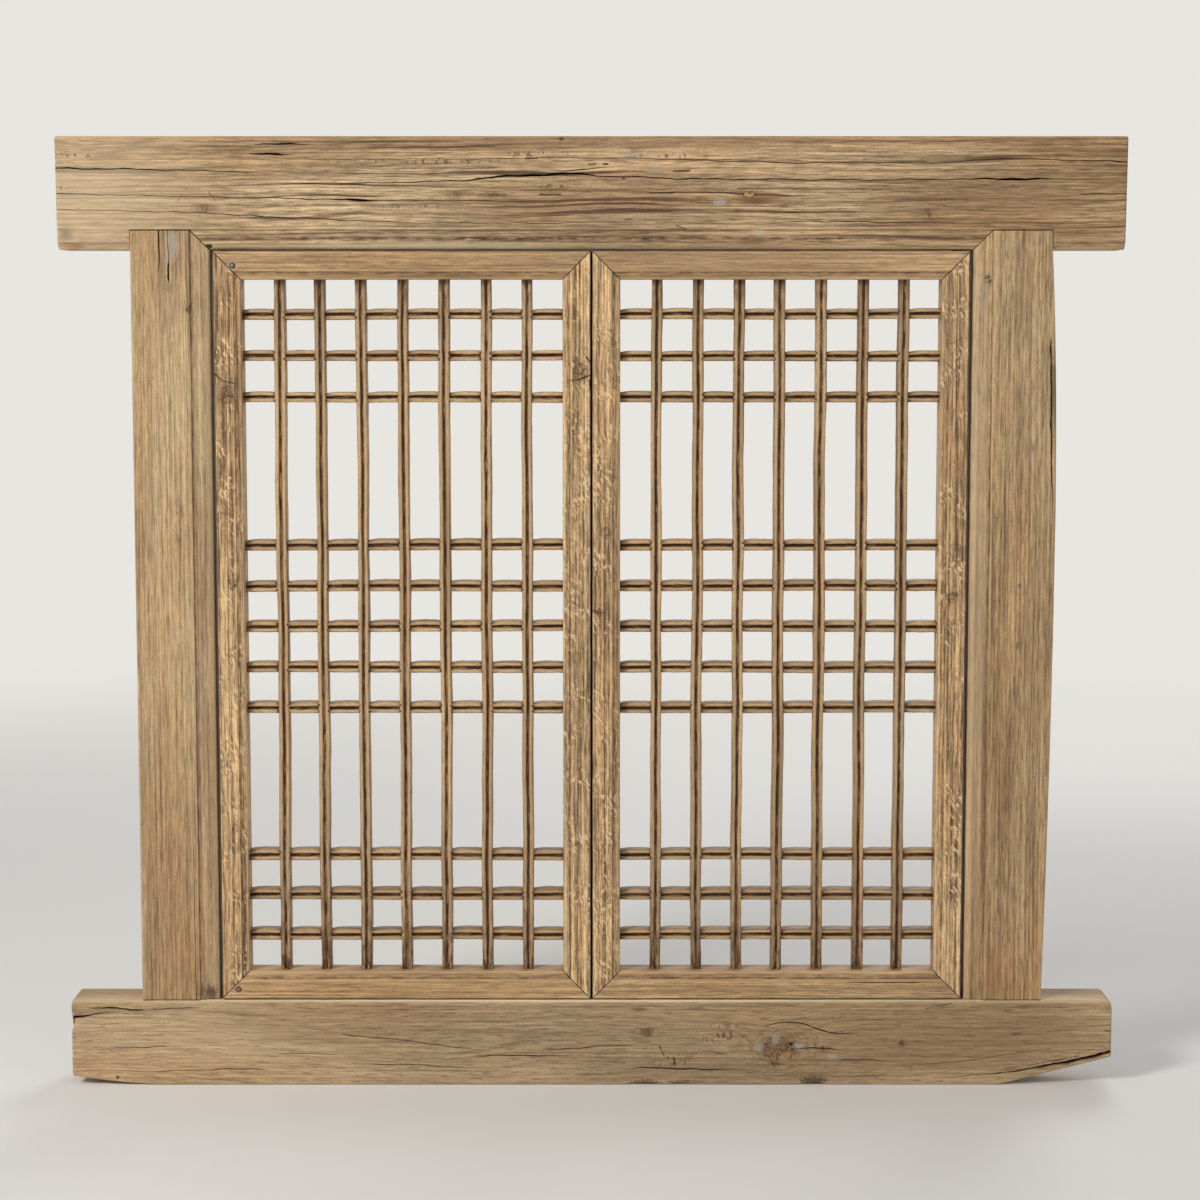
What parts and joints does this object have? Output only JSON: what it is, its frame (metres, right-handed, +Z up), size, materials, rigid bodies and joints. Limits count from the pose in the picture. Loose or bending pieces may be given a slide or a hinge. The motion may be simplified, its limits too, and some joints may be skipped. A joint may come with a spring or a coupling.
{
  "type": "wooden lattice panel",
  "caption": "Antique timber window frame with long sill and lintel horns, holding a pair of inward-opening sashes filled with half-lapped lattice bars.",
  "frame": {"origin": "On the floor under the middle of the sill, at the bottom centre of the bounding box", "axes": "+X runs along the sill and lintel to the right as seen from the front, -Y is the moulded front face, +Z is up"},
  "size_m": [1.2, 0.056, 1.084],
  "materials": {
    "frame_wood": "dry worn elm, light brown, cracked and hand planed",
    "sash_wood": "smooth worn elm with fine grain and a dark patina in the mouldings",
    "lattice_wood": "smooth worn elm bars with dark patina in the grooves",
    "nail_iron": "dull dark iron"
  },
  "bodies": {
    "frame": {"lintel": "frame_wood", "sill": "frame_wood", "left_post": "frame_wood", "right_post": "frame_wood"},
    "left_sash": {"left_sash_hanging_stile": "sash_wood", "left_sash_meeting_stile": "sash_wood", "left_sash_top_rail": "sash_wood", "left_sash_bottom_rail": "sash_wood", "left_sash_upright_1": "lattice_wood", "left_sash_upright_2": "lattice_wood", "left_sash_upright_3": "lattice_wood", "left_sash_upright_4": "lattice_wood", "left_sash_upright_5": "lattice_wood", "left_sash_upright_6": "lattice_wood", "left_sash_upright_7": "lattice_wood", "left_sash_crossbar_01": "lattice_wood", "left_sash_crossbar_02": "lattice_wood", "left_sash_crossbar_03": "lattice_wood", "left_sash_crossbar_04": "lattice_wood", "left_sash_crossbar_05": "lattice_wood", "left_sash_crossbar_06": "lattice_wood", "left_sash_crossbar_07": "lattice_wood", "left_sash_crossbar_08": "lattice_wood", "left_sash_crossbar_09": "lattice_wood", "left_sash_crossbar_10": "lattice_wood", "left_sash_crossbar_11": "lattice_wood", "left_sash_lower_nail": "nail_iron", "left_sash_upper_nail": "nail_iron"},
    "right_sash": {"right_sash_hanging_stile": "sash_wood", "right_sash_meeting_stile": "sash_wood", "right_sash_top_rail": "sash_wood", "right_sash_bottom_rail": "sash_wood", "right_sash_upright_1": "lattice_wood", "right_sash_upright_2": "lattice_wood", "right_sash_upright_3": "lattice_wood", "right_sash_upright_4": "lattice_wood", "right_sash_upright_5": "lattice_wood", "right_sash_upright_6": "lattice_wood", "right_sash_upright_7": "lattice_wood", "right_sash_crossbar_01": "lattice_wood", "right_sash_crossbar_02": "lattice_wood", "right_sash_crossbar_03": "lattice_wood", "right_sash_crossbar_04": "lattice_wood", "right_sash_crossbar_05": "lattice_wood", "right_sash_crossbar_06": "lattice_wood", "right_sash_crossbar_07": "lattice_wood", "right_sash_crossbar_08": "lattice_wood", "right_sash_crossbar_09": "lattice_wood", "right_sash_crossbar_10": "lattice_wood", "right_sash_crossbar_11": "lattice_wood"}
  },
  "joints": [
    {"name": "left_sash_swing", "type": "hinge", "parent": "frame", "child": "left_sash", "pos_m": [-0.414, -0.0025, 0.529], "axis": [0, 0, 1], "range_deg": [0, 90]},
    {"name": "right_sash_swing", "type": "hinge", "parent": "frame", "child": "right_sash", "pos_m": [0.414, -0.0025, 0.529], "axis": [0, 0, -1], "range_deg": [0, 90]}
  ]
}
